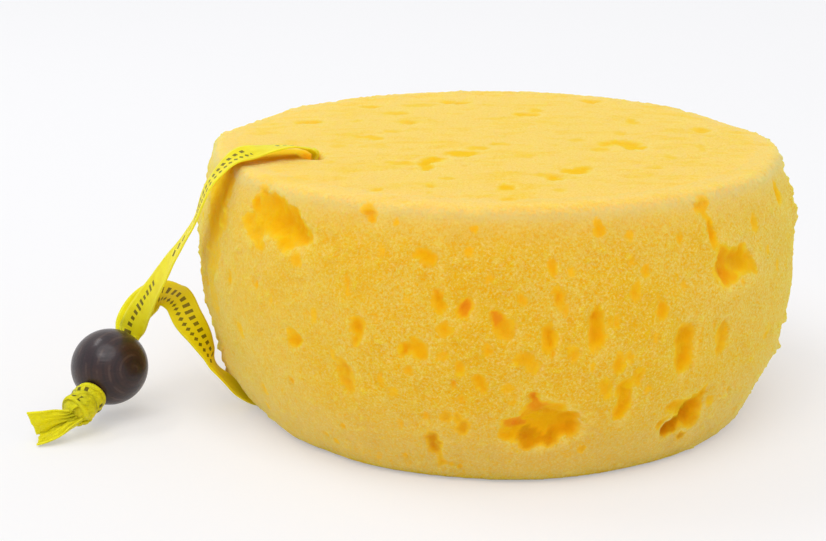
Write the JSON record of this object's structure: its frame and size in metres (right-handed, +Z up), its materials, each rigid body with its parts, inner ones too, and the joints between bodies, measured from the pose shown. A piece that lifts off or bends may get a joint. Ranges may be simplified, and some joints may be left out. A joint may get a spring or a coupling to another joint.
{
  "type": "bath sponge",
  "caption": "round foam bath sponge with an open-pored surface and a ribbon hanging loop that closes through a wooden bead above a tied knot",
  "frame": {"origin": "centre of the box round the foam, on its flat base, which rests on the floor", "axes": "+Z up, through the foam's thickness; +X to the right and -Y to the front, where the bead hangs at the front left"},
  "size_m": [0.1742, 0.14, 0.0648],
  "materials": {
    "foam": "open-celled soft yellow foam, matte",
    "ribbon": "woven satin ribbon, yellow-green",
    "wood": "dark stained and polished wood"
  },
  "bodies": {
    "root": {"foam_body": "foam", "ribbon": "ribbon", "bead": "wood", "ribbon_knot": "ribbon"}
  },
  "joints": []
}
